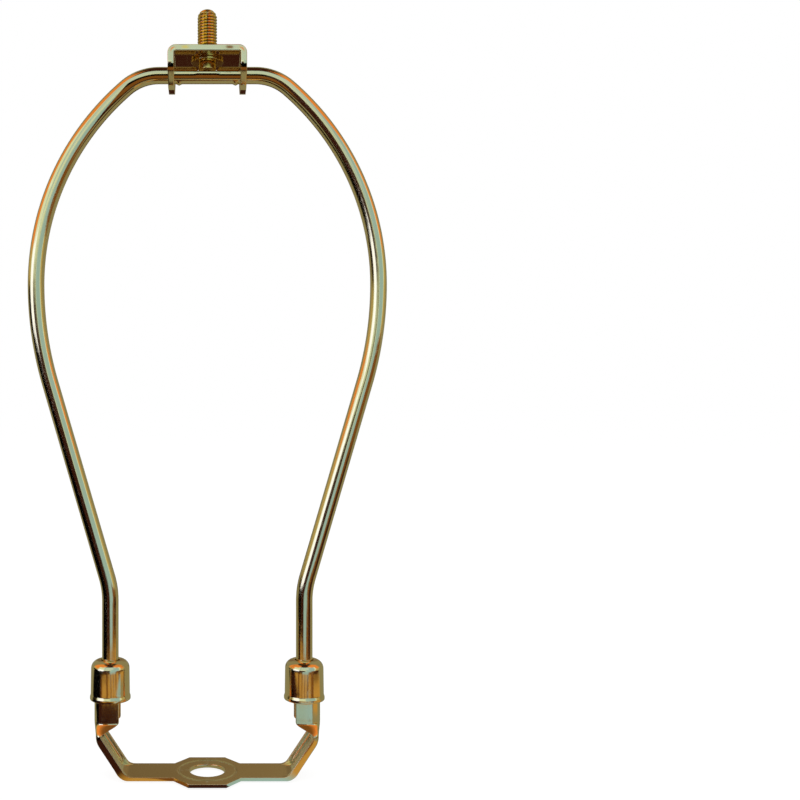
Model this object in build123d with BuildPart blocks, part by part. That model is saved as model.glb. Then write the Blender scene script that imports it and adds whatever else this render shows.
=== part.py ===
"""Nine-inch lamp harp: a bent wire frame that stands in a folded sheet saddle and carries a finial stud.

Millimetres, +Z up. The origin is the centre of the saddle's hole on its underside. X runs across the harp
and the front is -Y. The right half of the harp (+X) is modelled and the left half is its mirror.
"""

import os
from math import atan2, cos, radians, sin, sqrt, tan

from build123d import *

# Whole harp
harp_height = 228.6  # saddle underside to the bracket's top face, nine inches
foot_spread = 30.8  # from the centre line to the wire's foot

# Saddle, one stamped and folded sheet
sheet = 1.25
strip_width = 12.8
saddle_corner = 27.15  # where the underside would meet the arm's outer face
bottom_bend = 4.5  # outer radius
arm_lean = 33.5  # degrees from vertical
upper_bend = 6.0  # outer radius
flange_height = 2.4  # over the arm's outer face
flange_start = 4.2  # along the arm, from the saddle's corner
flange_fold = 1.6  # outer radius of the fold along the arm
gusset_blend = 3.0  # where the flange runs down into the strip's edge
post_rise = 17.4  # where the post's C section begins
post_lean_in = 0.9  # how much nearer the middle the post's back starts
post_depth = 3.0  # from the wire's axis to the post's rims
post_rim = 4.0  # half width over the rims
post_corner = 5.35  # half width where the back would meet the flanges
post_fold = 4.2  # outer radius of the post's folds
eye_length = 11.6  # full-width stretch round the hole
eye_taper = 4.7
eye_width = 24.0
hole_diameter = 11.1
hole_chamfer = 0.3

# Wire
wire_diameter = 5.25
wire_drop = 6.7  # wire's centre line under the bracket's top face
bracket_side_run = 3.05  # straight wire outside each ear of the bracket
shoulder_radius = 16.0
belly_half_width = 54.4
belly_height = 155.5
leg_run = 64.4  # straight stretch between the lower arc and the foot's bend
foot_bend = 26.0
foot_end = 15.6
foot_chamfer = 0.6
press_length = 6.0  # pressed flat under the stud's tail
press_slope = 0.8
press_over_axis = 0.75
pinch_length = 2.2  # small pinches that keep the bracket in the middle
pinch_height = 0.55
pinch_root = 0.2  # how deep the pinch's ends reach into the wire
pinch_angle = 70.0
ear_width = 8.4  # pinched ears that stand on the post and stop the ferrule
ear_thickness = 2.6
ear_height = 1.5

# Ferrules, drawn cups
ferrule_base = 23.9  # rim over the saddle's underside
ferrule_height = 12.6
ferrule_rim = 12.9  # diameter over the rolled rim
ferrule_foot = 12.4
ferrule_top = 12.1
ferrule_wall = 0.75
ferrule_shoulder = 2.7
ferrule_hole = 6.1
rim_height = 1.0
rim_blend = 0.8

# Bracket, a folded strap
bracket_width = 24.6
bracket_depth = 18.8
bracket_sheet = 1.95
bracket_fold = 2.5
ear_reach = 5.2  # ear's end under the wire's centre line
ear_end_width = 7.6
ear_round = 4.0

# Stud and washer
thread_diameter = 6.2
thread_length = 14.1
thread_dome = 2.0
neck_diameter = 4.6
tail_flare = 5.65
tail_taper = 0.2  # the tail is this much thinner at the washer, in radius
tail_bore = 2.6
washer_diameter = 10.2
washer_thickness = 0.8

# Clearances
seat_gap = 0.3  # pieces that stand on each other
swivel_gap = 0.05  # stud and washer in the bracket
wire_gap = 0.08  # wire in the bracket's ears
ferrule_gap = 0.3  # ferrule over the post
tail_gap = 0.75  # stud's tail over the pressed flat
slide_room = 18.7  # straight wire over the ferrule, for it to be slid up

# Worked out from the sizes above
wire_radius = wire_diameter / 2
wire_top = harp_height - wire_drop
ferrule_bore = ferrule_top / 2 - ferrule_wall
post_radius = ferrule_bore - ferrule_gap
bracket_under = harp_height - bracket_sheet
washer_under = bracket_under - swivel_gap - washer_thickness
lean = radians(arm_lean)

# The ferrule's inner shoulder comes down on the wire's ears, and the ears stand on the post
inner_shoulder = ferrule_shoulder - ferrule_wall
shoulder_centre = ferrule_bore - inner_shoulder
ear_under_shoulder = inner_shoulder - sqrt(inner_shoulder**2 - (ear_width / 2 - shoulder_centre) ** 2)
ear_top = ferrule_base + ferrule_height - ferrule_wall - ear_under_shoulder - seat_gap
ear_base = ear_top - ear_height
post_top = ear_base - seat_gap


def across(radius, turn):
    """Sideways reach of an arc that starts straight ahead and turns by some radians."""
    return radius * (1 - cos(turn))


def ahead(radius, turn):
    """Forward reach of the same arc."""
    return radius * sin(turn)


def upright(point):
    """The same point or direction of the side view, standing in the XZ plane."""
    return Vector(point.X, 0, point.Y)


def folded_section(back, corner_half, depth, rim_half, fold):
    """Outline of the folded sheet: web along local Y at the back, flanges reaching to the depth in local X.

    The flanges close in from corner_half to rim_half, as the arm's do not and the post's do.
    """
    closing = (corner_half - rim_half) / (depth - back)
    skin = sheet * sqrt(1 + closing**2)
    inner_half = corner_half - closing * sheet - skin
    inner_rim = rim_half - skin
    inner_back = back + sheet
    with BuildLine() as outline:
        outer = FilletPolyline(
            (depth, -rim_half), (back, -corner_half), (back, corner_half), (depth, rim_half), radius=fold
        )
        inner = FilletPolyline(
            (depth, inner_rim),
            (inner_back, inner_half),
            (inner_back, -inner_half),
            (depth, -inner_rim),
            radius=fold - sheet,
        )
        Line(outer @ 1, inner @ 0)
        Line(inner @ 1, outer @ 0)
    return outline.line


# Saddle
arm_way = Vector(sin(lean), cos(lean))
arm_inward = Vector(-cos(lean), sin(lean))
corner = Vector(saddle_corner, 0)
post_back = foot_spread + post_radius
post_base_back = post_back - post_lean_in
arm_length = (post_base_back - saddle_corner) / sin(lean)
upper_corner = corner + arm_way * arm_length
upper_tangent = upper_bend * tan(lean / 2)
flange_origin = corner + arm_way * flange_start
bend_start = upper_corner - arm_way * upper_tangent
bend_end = upper_corner + Vector(0, upper_tangent)

with BuildPart() as saddle:
    with BuildSketch(Plane.XZ):
        with BuildLine():
            outer_line = FilletPolyline((0, 0), corner, flange_origin, radius=bottom_bend)
            inner_end = flange_origin + arm_inward * sheet
            inner_corner = saddle_corner - sheet * tan((radians(90) - lean) / 2)
            inner_line = FilletPolyline(
                (0, sheet), (inner_corner, sheet), inner_end, radius=bottom_bend - sheet
            )
            Line(outer_line @ 0, inner_line @ 0)
            Line(outer_line @ 1, inner_line @ 1)
        make_face()
    extrude(amount=strip_width / 2, both=True)

    with BuildLine() as arm_path:
        arm_run = Line(upright(flange_origin), upright(bend_start))
        TangentArc(arm_run @ 1, upright(bend_end), tangent=arm_run % 1)
    arm_foot = Plane(origin=arm_run @ 0, x_dir=upright(arm_inward), z_dir=arm_run % 0)
    with BuildSketch(arm_foot):
        add(folded_section(0, strip_width / 2, flange_height, strip_width / 2, flange_fold))
        make_face()
    sweep(path=arm_path.line)
    flange_tip = flange_origin + arm_inward * flange_height
    gusset_corner = flange_tip - arm_way * ((flange_tip.Y - sheet) / cos(lean))
    gusset_end = gusset_corner.X - gusset_blend * tan((radians(90) - lean) / 2)
    mid_corner = saddle_corner - sheet / 2 * tan((radians(90) - lean) / 2)
    for gusset_front in (strip_width / 2 - sheet, -strip_width / 2):
        with BuildSketch(Plane.XZ.offset(gusset_front)):
            with BuildLine():
                edge_line = FilletPolyline(
                    (gusset_end - sheet, sheet), gusset_corner, flange_tip, radius=gusset_blend
                )
                sheet_line = FilletPolyline(
                    (gusset_end - sheet, sheet / 2),
                    (mid_corner, sheet / 2),
                    flange_origin + arm_inward * sheet / 2,
                    radius=bottom_bend - sheet / 2,
                )
                Line(edge_line @ 0, sheet_line @ 0)
                Line(edge_line @ 1, sheet_line @ 1)
            make_face()
        extrude(amount=sheet)

    bend_top = Plane(origin=upright(bend_end), x_dir=(-1, 0, 0), z_dir=(0, 0, 1))
    post_foot = Plane(origin=(foot_spread, 0, post_rise), x_dir=(-1, 0, 0), z_dir=(0, 0, 1))
    with BuildSketch(bend_top):
        add(folded_section(0, strip_width / 2, flange_height, strip_width / 2, flange_fold))
        make_face()
    with BuildSketch(post_foot):
        add(folded_section(-post_radius, post_corner, post_depth, post_rim, post_fold))
        make_face()
    loft(ruled=True)
    with BuildSketch(post_foot):
        add(folded_section(-post_radius, post_corner, post_depth, post_rim, post_fold))
        make_face()
    extrude(amount=post_top - post_rise)

    mirror(about=Plane.YZ)

    with BuildSketch():
        with BuildLine():
            Polyline(
                (eye_length / 2 + eye_taper, strip_width / 2),
                (eye_length / 2, eye_width / 2),
                (-eye_length / 2, eye_width / 2),
                (-eye_length / 2 - eye_taper, strip_width / 2),
                (-eye_length / 2 - eye_taper, -strip_width / 2),
                (-eye_length / 2, -eye_width / 2),
                (eye_length / 2, -eye_width / 2),
                (eye_length / 2 + eye_taper, -strip_width / 2),
                close=True,
            )
        make_face()
    extrude(amount=sheet)
    with Locations((0, 0, sheet)):
        Hole(hole_diameter / 2)
    rims = saddle.edges().filter_by(GeomType.CIRCLE).filter_by(
        lambda e: abs(e.radius - hole_diameter / 2) < 0.01 and e.center().Z > sheet / 2
    )
    chamfer(rims, hole_chamfer)
saddle.part.label = "saddle"

# Wire, straights and tangent arcs. The upper arc's radius is the one that meets the shoulder and the belly.
shoulder_start = bracket_width / 2 + bracket_side_run
side_reach = belly_half_width - shoulder_start
centre_drop = wire_top - shoulder_radius - belly_height
upper_radius = (side_reach**2 + centre_drop**2 - shoulder_radius**2) / (2 * (side_reach - shoulder_radius))
upper_share = shoulder_radius / (upper_radius - shoulder_radius)
shoulder_end = Vector(
    shoulder_start + (shoulder_start - belly_half_width + upper_radius) * upper_share,
    0,
    wire_top - shoulder_radius + centre_drop * upper_share,
)

# The lower arc's radius is the one that meets the belly and leaves the leg its straight run
foot_top = ferrule_base + ferrule_height + slide_room
leg_in = belly_half_width - foot_spread
leg_down = belly_height - foot_top
leg_lean = 2 * atan2(leg_in, leg_down + leg_run)
lower_radius = (leg_in**2 + leg_down**2 - leg_run**2) / (2 * leg_in) - foot_bend
lower_across, lower_down = across(lower_radius, leg_lean), ahead(lower_radius, leg_lean)
foot_across, foot_rise = across(foot_bend, leg_lean), ahead(foot_bend, leg_lean)
leg_start = (belly_half_width - lower_across, 0, belly_height - lower_down)
leg_end = (foot_spread + foot_across, 0, foot_top + foot_rise)

with BuildPart() as harp_wire:
    with BuildLine() as wire_path:
        top_run = Line((0, 0, wire_top), (shoulder_start, 0, wire_top))
        shoulder = TangentArc(top_run @ 1, shoulder_end, tangent=(1, 0, 0))
        belly = TangentArc(shoulder @ 1, (belly_half_width, 0, belly_height), tangent=shoulder % 1)
        lower = TangentArc(belly @ 1, leg_start, tangent=(0, 0, -1))
        leg = Line(lower @ 1, leg_end)
        ankle = TangentArc(leg @ 1, (foot_spread, 0, foot_top), tangent=leg % 1)
        Line(ankle @ 1, (foot_spread, 0, foot_end))
    with BuildSketch(Plane(origin=(0, 0, wire_top), z_dir=(1, 0, 0))):
        Circle(wire_radius)
    sweep(path=wire_path.line)
    chamfer(harp_wire.faces().sort_by(Axis.Z)[0].edges(), foot_chamfer)
    with BuildSketch(Plane.XY.offset(ear_base)):
        with Locations((foot_spread, 0)):
            SlotOverall(ear_width, ear_thickness, rotation=90)
    extrude(amount=ear_height)
    mirror(about=Plane.YZ)

    with BuildSketch(Plane.XZ.offset(-wire_diameter)):
        with BuildLine():
            flat_z = wire_top + press_over_axis
            Polyline(
                (-press_length / 2, flat_z),
                (press_length / 2, flat_z),
                (press_length / 2 + press_slope, wire_top + wire_diameter),
                (-press_length / 2 - press_slope, wire_top + wire_diameter),
                close=True,
            )
        make_face()
    extrude(amount=2 * wire_diameter, mode=Mode.SUBTRACT)

    pinch_outer = bracket_width / 2 - bracket_sheet - seat_gap
    pinch_turn = radians(pinch_angle / 2)
    pinch_plane = Plane(
        origin=(0, 0, wire_top), x_dir=(1, 0, 0), z_dir=(0, -cos(pinch_turn), sin(pinch_turn))
    )
    with BuildSketch(pinch_plane):
        for side in (-1, 1):
            with BuildLine():
                bump = ThreePointArc(
                    (side * pinch_outer, pinch_root - wire_radius),
                    (side * (pinch_outer - pinch_length / 2), -wire_radius - pinch_height),
                    (side * (pinch_outer - pinch_length), pinch_root - wire_radius),
                )
                Line(bump @ 1, bump @ 0)
            make_face()
    revolve(axis=Axis((0, 0, wire_top), (1, 0, 0)), revolution_arc=pinch_angle)
harp_wire.part.label = "harp_wire"


# Ferrules
def ferrule_outline():
    """Half section of the drawn cup, from its rim up over the shoulder to the hole and back inside."""
    top_radius = ferrule_top / 2
    shoulder_z = ferrule_base + ferrule_height - ferrule_shoulder
    crown_z = ferrule_base + ferrule_height
    blend_z = ferrule_base + rim_height + rim_blend
    with BuildLine() as outline:
        rim_line = Line((ferrule_rim / 2, ferrule_base), (ferrule_rim / 2, ferrule_base + rim_height))
        flare = Line(rim_line @ 1, (ferrule_foot / 2, blend_z))
        side = Line(flare @ 1, (top_radius, shoulder_z))
        crown = JernArc(side @ 1, (0, 1), ferrule_shoulder, 90)
        lip = Line(crown @ 1, (ferrule_hole / 2, crown_z))
        drop = Line(lip @ 1, (ferrule_hole / 2, crown_z - ferrule_wall))
        under = Line(drop @ 1, (top_radius - ferrule_shoulder, crown_z - ferrule_wall))
        inner_crown = JernArc(under @ 1, (1, 0), inner_shoulder, -90)
        inner_side = Line(inner_crown @ 1, (ferrule_foot / 2 - ferrule_wall, blend_z))
        inner_flare = Line(inner_side @ 1, (ferrule_rim / 2 - ferrule_wall, ferrule_base))
        Line(inner_flare @ 1, rim_line @ 0)
    return outline.line


with BuildPart() as ferrule_right:
    with BuildSketch(Plane.XZ):
        add(ferrule_outline())
        make_face()
    revolve(axis=Axis.Z)
with BuildPart() as ferrule_left:
    with Locations((-foot_spread, 0, 0)):
        add(ferrule_right.part)
ferrule_right.part = ferrule_right.part.moved(Location((foot_spread, 0, 0)))
ferrule_right.part.label = "ferrule_right"
ferrule_left.part.label = "ferrule_left"

# Top bracket
with BuildPart() as top_bracket:
    ear_bottom = wire_top - ear_reach
    half_width = bracket_width / 2
    with BuildSketch(Plane.XZ):
        with BuildLine():
            over = FilletPolyline(
                (-half_width, ear_bottom),
                (-half_width, harp_height),
                (half_width, harp_height),
                (half_width, ear_bottom),
                radius=bracket_fold,
            )
            inner_half = half_width - bracket_sheet
            beneath = FilletPolyline(
                (inner_half, ear_bottom),
                (inner_half, bracket_under),
                (-inner_half, bracket_under),
                (-inner_half, ear_bottom),
                radius=bracket_fold - bracket_sheet,
            )
            Line(over @ 1, beneath @ 0)
            Line(beneath @ 1, over @ 0)
        make_face()
    extrude(amount=bracket_depth / 2, both=True)
    with BuildSketch(Plane.YZ):
        with BuildLine():
            ear_line = FilletPolyline(
                (-bracket_depth / 2, harp_height),
                (-bracket_depth / 2, wire_top),
                (-ear_end_width / 2, ear_bottom),
                (ear_end_width / 2, ear_bottom),
                (bracket_depth / 2, wire_top),
                (bracket_depth / 2, harp_height),
                radius=ear_round,
            )
            Line(ear_line @ 1, ear_line @ 0)
        make_face()
    extrude(amount=bracket_width, both=True, mode=Mode.INTERSECT)
    with BuildSketch(Plane.YZ.offset(-bracket_width)):
        with Locations((0, wire_top)):
            Circle(wire_radius + wire_gap)
    extrude(amount=2 * bracket_width, mode=Mode.SUBTRACT)
    with Locations((0, 0, harp_height)):
        Hole(neck_diameter / 2 + swivel_gap)
top_bracket.part.label = "top_bracket"

# Stud, its tail swaged over the washer
tail_end = wire_top + press_over_axis + tail_gap
with BuildPart() as finial_stud:
    with BuildSketch(Plane.XZ):
        with BuildLine():
            shelf_z = harp_height + swivel_gap
            tip_z = shelf_z + thread_length
            swage_z = washer_under - swivel_gap
            dome_radius = ((thread_diameter / 2) ** 2 + thread_dome**2) / (2 * thread_dome)
            outer_side = Polyline(
                (tail_bore / 2, tail_end),
                (tail_flare / 2, tail_end),
                (tail_flare / 2 - tail_taper, swage_z),
                (neck_diameter / 2, swage_z),
                (neck_diameter / 2, shelf_z),
                (thread_diameter / 2, shelf_z),
                (thread_diameter / 2, tip_z - thread_dome),
            )
            dome = RadiusArc(outer_side @ 1, (0, tip_z), -dome_radius)
            Polyline(dome @ 1, (0, swage_z), (tail_bore / 2, swage_z), outer_side @ 0)
        make_face()
    revolve(axis=Axis.Z)
finial_stud.part.label = "finial_stud"

with BuildPart() as swivel_washer:
    with BuildSketch(Plane.XY.offset(washer_under)):
        Circle(washer_diameter / 2)
        Circle(neck_diameter / 2 + swivel_gap, mode=Mode.SUBTRACT)
    extrude(amount=washer_thickness)
swivel_washer.part.label = "swivel_washer"

os.makedirs("parts", exist_ok=True)
for piece in (saddle, harp_wire, ferrule_left, ferrule_right, top_bracket, finial_stud, swivel_washer):
    export_step(piece.part, f"parts/{piece.part.label}.step")
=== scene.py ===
"""Dresses a nine-inch lamp harp in bright brass plate and stands it in a light tent.

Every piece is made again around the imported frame, in the frame's own place: the bent wire, the folded
saddle, the two drawn ferrules, the rocking bracket, the threaded stud and its washer. Metres, +Z up, front
is -Y.
"""

import logging
import math
from dataclasses import dataclass, field
from enum import Enum
from typing import Callable, Sequence

import bmesh
import bpy
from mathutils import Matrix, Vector


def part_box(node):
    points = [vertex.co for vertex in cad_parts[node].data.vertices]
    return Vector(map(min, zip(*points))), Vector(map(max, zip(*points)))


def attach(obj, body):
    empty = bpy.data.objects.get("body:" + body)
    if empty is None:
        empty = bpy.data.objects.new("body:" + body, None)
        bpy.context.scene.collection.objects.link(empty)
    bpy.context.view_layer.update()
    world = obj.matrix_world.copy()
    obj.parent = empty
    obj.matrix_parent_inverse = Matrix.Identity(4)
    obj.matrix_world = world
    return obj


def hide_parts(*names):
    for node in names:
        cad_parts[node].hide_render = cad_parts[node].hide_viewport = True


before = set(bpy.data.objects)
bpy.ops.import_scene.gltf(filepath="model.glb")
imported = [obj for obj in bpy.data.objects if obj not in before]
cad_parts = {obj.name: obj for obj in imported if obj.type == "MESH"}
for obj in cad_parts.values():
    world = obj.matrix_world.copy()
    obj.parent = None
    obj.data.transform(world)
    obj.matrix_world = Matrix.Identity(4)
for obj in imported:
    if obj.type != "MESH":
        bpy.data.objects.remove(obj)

MM = 0.001
WIRE_DIAMETER = 5.25 * MM
STRAP_SHEET = 1.95 * MM
NECK_HOLE = 2.35 * MM
TINY = 1e-9
MERGE = 1e-6
PARALLEL = 1e-12
FULL_TURN = 360.0
FLARE_STEP = math.radians(30)
HOLE_SIDES = 96
ONE_QUAD = ((0, 1, 2, 3),)
WHITE_LIGHT = (1.0, 1.0, 1.0, 1.0)
log = logging.getLogger("lamp_harp")

Point = tuple[float, float]
Face = tuple[int, ...]
Colour = tuple[float, float, float]


class Slot(Enum):
    """The record's material slots."""

    PLATED_STEEL = "plated_steel"
    TURNED_BRASS = "turned_brass"


class Body(Enum):
    """The bodies that the pieces ride on."""

    SADDLE = "saddle"
    HARP = "harp"
    FERRULE_LEFT = "ferrule_left"
    FERRULE_RIGHT = "ferrule_right"
    BRACKET = "bracket"
    STUD = "stud"


def smooth_step(x: float, start: float, end: float) -> float:
    """Eases from 0 at the start to 1 at the end.

    Args:
        x: where on the way.
        start: where the rise begins.
        end: where it is done.

    Returns:
        The eased share, from 0 to 1.
    """
    t = min(1.0, max(0.0, (x - start) / (end - start)))
    return t * t * (3 - 2 * t)


def spread(start: float, end: float, step: float) -> list[float]:
    """Evenly spaced values from start to end, no further apart than the step."""
    count = max(1, math.ceil(abs(end - start) / step - TINY))
    return [start + (end - start) * i / count for i in range(count + 1)]


def turn_at(before: Vector, here: Vector, after: Vector) -> float:
    """How far a line through three points turns at the middle one, in radians."""
    back, on = before - here, after - here
    return math.pi - back.angle(on) if min(back.length, on.length) > TINY else 0.0


def corner_arc(before: Vector, here: Vector, after: Vector, radius: float, pieces: int) -> list[Vector]:
    """A tangent arc in place of a corner.

    Args:
        before: the corner before it.
        here: the corner.
        after: the corner after it.
        radius: the arc's radius, 0 for a sharp corner.
        pieces: how many pieces the arc has.

    Returns:
        One point more than there are pieces; a sharp corner repeats its own.
    """
    turn = turn_at(before, here, after)
    if radius <= 0 or turn < TINY:
        return [here] * (pieces + 1)
    back, on = (before - here).normalized(), (after - here).normalized()
    centre = here + (back + on).normalized() * (radius / math.cos(turn / 2))
    first = here + back * radius * math.tan(turn / 2) - centre
    side = 1.0 if back.x * on.y - back.y * on.x < 0 else -1.0
    points = []
    for i in range(pieces + 1):
        c, s = math.cos(side * turn * i / pieces), math.sin(side * turn * i / pieces)
        points.append(centre + Vector((first.x * c - first.y * s, first.x * s + first.y * c)))
    return points


def rounded(corners: Sequence[Point], radii: Sequence[float], step: float = math.radians(6)) -> list[Point]:
    """An open line through the corners, with a tangent arc at each inner one.

    Args:
        corners: the points, the ends included.
        radii: one radius for each inner corner, 0 for a sharp one.
        step: the most that one piece of an arc turns.

    Returns:
        The points of the line.
    """
    spots = [Vector(corner) for corner in corners]
    line = [spots[0]]
    for before, here, after, radius in zip(spots, spots[1:], spots[2:], radii):
        pieces = math.ceil(turn_at(before, here, after) / step) if radius > 0 else 0
        line += corner_arc(before, here, after, radius, pieces) if pieces else [here]
    line.append(spots[-1])
    return [tuple(spot) for spot in line]


def make_piece(name: str, vertices: Sequence[Sequence[float]], faces: Sequence[Face]) -> bpy.types.Object:
    """A smooth-shaded mesh object, its doubled points merged and its faces turned outwards.

    Args:
        name: the object's name.
        vertices: the points, in metres.
        faces: the faces, as rows of point numbers.

    Returns:
        The new object.
    """
    mesh = bpy.data.meshes.new(name)
    mesh.from_pydata([tuple(v) for v in vertices], [], faces)
    work = bmesh.new()
    work.from_mesh(mesh)
    bmesh.ops.remove_doubles(work, verts=work.verts, dist=MERGE)
    bmesh.ops.recalc_face_normals(work, faces=work.faces)
    work.to_mesh(mesh)
    work.free()
    mesh.shade_smooth()
    piece = bpy.data.objects.new(name, mesh)
    bpy.context.scene.collection.objects.link(piece)
    return piece


def lathe(name: str, profile: Sequence[Point], centre: Point, sides: int) -> bpy.types.Object:
    """Turns a closed half section about an upright axis.

    Args:
        name: the object's name.
        profile: radius and height of each point, in order; a radius of 0 lies on the axis.
        centre: X and Y of the axis.
        sides: points round the axis.

    Returns:
        The turned piece.
    """
    vertices = []
    for i in range(sides):
        angle = 2 * math.pi * i / sides
        c, s = math.cos(angle), math.sin(angle)
        vertices += [(centre[0] + radius * c, centre[1] + radius * s, height) for radius, height in profile]
    count = len(profile)
    faces = []
    for i in range(sides):
        j = (i + 1) % sides
        for k in range(count):
            m = (k + 1) % count
            faces.append((i * count + k, j * count + k, j * count + m, i * count + m))
    return make_piece(name, vertices, faces)


def settle(piece: bpy.types.Object, node: str, body: Body, material: bpy.types.Material) -> None:
    """Gives a finished piece its material, its CAD node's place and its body.

    Args:
        piece: the finished piece.
        node: the CAD node that it stands for.
        body: the body that it rides on.
        material: its Blender material.
    """
    piece.data.materials.clear()
    piece.data.materials.append(material)
    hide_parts(node)
    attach(piece, body.value)
    triangles = sum(len(face.vertices) - 2 for face in piece.data.polygons)
    log.info("%s stands for %s, %d triangles", piece.name, node, triangles)


@dataclass
class HarpWire:
    """The bent wire: straight runs and tangent arcs, with its pressed flat, pinches and ears."""

    diameter: float = WIRE_DIAMETER
    bracket_side_run: float = 3.05 * MM
    shoulder_radius: float = 16.0 * MM
    belly_height: float = 155.5 * MM
    leg_run: float = 64.4 * MM
    foot_bend: float = 26.0 * MM
    slide_room: float = 18.7 * MM
    press_length: float = 6.0 * MM
    press_slope: float = 0.9 * MM
    press_over_axis: float = 0.75 * MM
    press_edge: float = 0.07 * MM
    press_bulge: float = 0.14 * MM
    bulge_from: float = -0.6
    bulge_to: float = 0.3
    press_steepest: float = 60.0
    bracket_sheet: float = STRAP_SHEET
    seat_gap: float = 0.3 * MM
    pinch_length: float = 2.2 * MM
    pinch_height: float = 0.5 * MM
    pinch_half_turn: float = math.radians(38)
    ear_half_width: float = 4.2 * MM
    ear_height: float = 1.5 * MM
    ear_full: float = 0.35
    ear_faded: float = 0.9
    ear_half_turn: float = math.radians(40)
    foot_chamfer: float = 0.6 * MM
    coarse_step: float = 1.1 * MM
    fine_step: float = 0.25 * MM
    sides: int = 56
    runs: list[tuple[float, Callable[[float], tuple[Point, Point]]]] = field(default_factory=list)

    def __post_init__(self) -> None:
        """Reads the wire's reach and what it meets from the frame, and lays out its path."""
        low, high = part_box("harp_wire")
        cup_low, cup_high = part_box("ferrule_right")
        bracket_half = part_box("top_bracket")[1].x
        self.radius = self.diameter / 2
        self.top = high.z - self.radius
        self.belly_half_width = high.x - self.radius
        self.foot_end = low.z
        self.foot_spread = (cup_low.x + cup_high.x) / 2
        self.foot_top = cup_high.z + self.slide_room
        self.shoulder_start = bracket_half + self.bracket_side_run
        self.pinch_place = bracket_half - self.bracket_sheet - self.seat_gap - self.pinch_length / 2
        self.ear_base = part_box("saddle")[1].z + self.seat_gap
        self._lay_out()

    def _line(self, start: Point, end: Point) -> None:
        """Adds a straight run from start to end.

        Args:
            start: its first point.
            end: its last point.
        """
        a, b = Vector(start), Vector(end)
        way = (b - a).normalized()
        self.runs.append(((b - a).length, lambda s: (tuple(a + way * s), tuple(way))))

    def _arc(self, start: Point, way: Point, radius: float, turn: float, side: int) -> tuple[Point, Point]:
        """Adds a tangent arc.

        Args:
            start: where it starts.
            way: the direction at its start.
            radius: its radius.
            turn: how far it turns, in radians.
            side: 1 turns left of the way, -1 right.

        Returns:
            The point and the direction at its end.
        """
        a, w = Vector(start), Vector(way)
        left = Vector((-w.y, w.x)) * side

        def at(s: float) -> tuple[Point, Point]:
            """The point and the direction at a distance from the arc's start.

            Args:
                s: the distance.

            Returns:
                The point and the direction there.
            """
            angle = s / radius
            point = a + w * (radius * math.sin(angle)) + left * (radius * (1 - math.cos(angle)))
            ahead = w * math.cos(angle) + left * math.sin(angle)
            return tuple(point), tuple(ahead)

        self.runs.append((radius * turn, at))
        return at(radius * turn)

    def _lay_out(self) -> None:
        """Works out the right half's path from the sizes, from the middle of the top to the foot."""
        reach = self.belly_half_width - self.shoulder_start
        drop = self.top - self.shoulder_radius - self.belly_height
        upper = (reach**2 + drop**2 - self.shoulder_radius**2) / (2 * (reach - self.shoulder_radius))
        shoulder_turn = math.pi / 2 - math.asin(drop / (upper - self.shoulder_radius))
        leg_in = self.belly_half_width - self.foot_spread
        leg_down = self.belly_height - self.foot_top
        lean = 2 * math.atan2(leg_in, leg_down + self.leg_run)
        lower = (leg_in**2 + leg_down**2 - self.leg_run**2) / (2 * leg_in) - self.foot_bend
        leg_start = (
            self.belly_half_width - lower * (1 - math.cos(lean)),
            self.belly_height - lower * math.sin(lean),
        )
        leg_end = (
            self.foot_spread + self.foot_bend * (1 - math.cos(lean)),
            self.foot_top + self.foot_bend * math.sin(lean),
        )
        shoulder = (self.shoulder_start, self.top)
        self._line((0.0, self.top), shoulder)
        point, way = self._arc(shoulder, (1.0, 0.0), self.shoulder_radius, shoulder_turn, -1)
        point, way = self._arc(point, way, upper, math.pi / 2 - shoulder_turn, -1)
        self._arc(point, way, lower, lean, -1)
        self._line(leg_start, leg_end)
        self._arc(leg_end, (-math.sin(lean), -math.cos(lean)), self.foot_bend, lean, 1)
        self._line((self.foot_spread, self.foot_top), (self.foot_spread, self.foot_end))
        self.length = sum(length for length, _ in self.runs)

    def _at(self, distance: float) -> tuple[Point, Point]:
        """The point and the direction at a distance from the middle of the top, on the right half.

        Args:
            distance: how far along the wire.

        Returns:
            The point and the direction there.
        """
        for length, run in self.runs:
            if distance <= length:
                return run(distance)
            distance -= length
        length, run = self.runs[-1]
        return run(length)

    def _stations(self) -> list[float]:
        """Distances of the rings from the middle, closer together where the wire is pressed.

        Returns:
            The distances, from the middle of the top to the foot.
        """
        top_end = self.shoulder_start
        ear_from = self.length - (self.ear_base + 2 * self.ear_height - self.foot_end)
        ear_to = self.length - (self.ear_base - self.ear_height - self.foot_end)
        last = self.length - self.foot_chamfer
        marks = spread(0.0, top_end, self.fine_step) + spread(top_end, ear_from, self.coarse_step)[1:]
        marks += spread(ear_from, ear_to, self.fine_step)[1:] + spread(ear_to, last, self.coarse_step)[1:]
        return marks + spread(last, self.length, self.fine_step)[1:]

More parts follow.
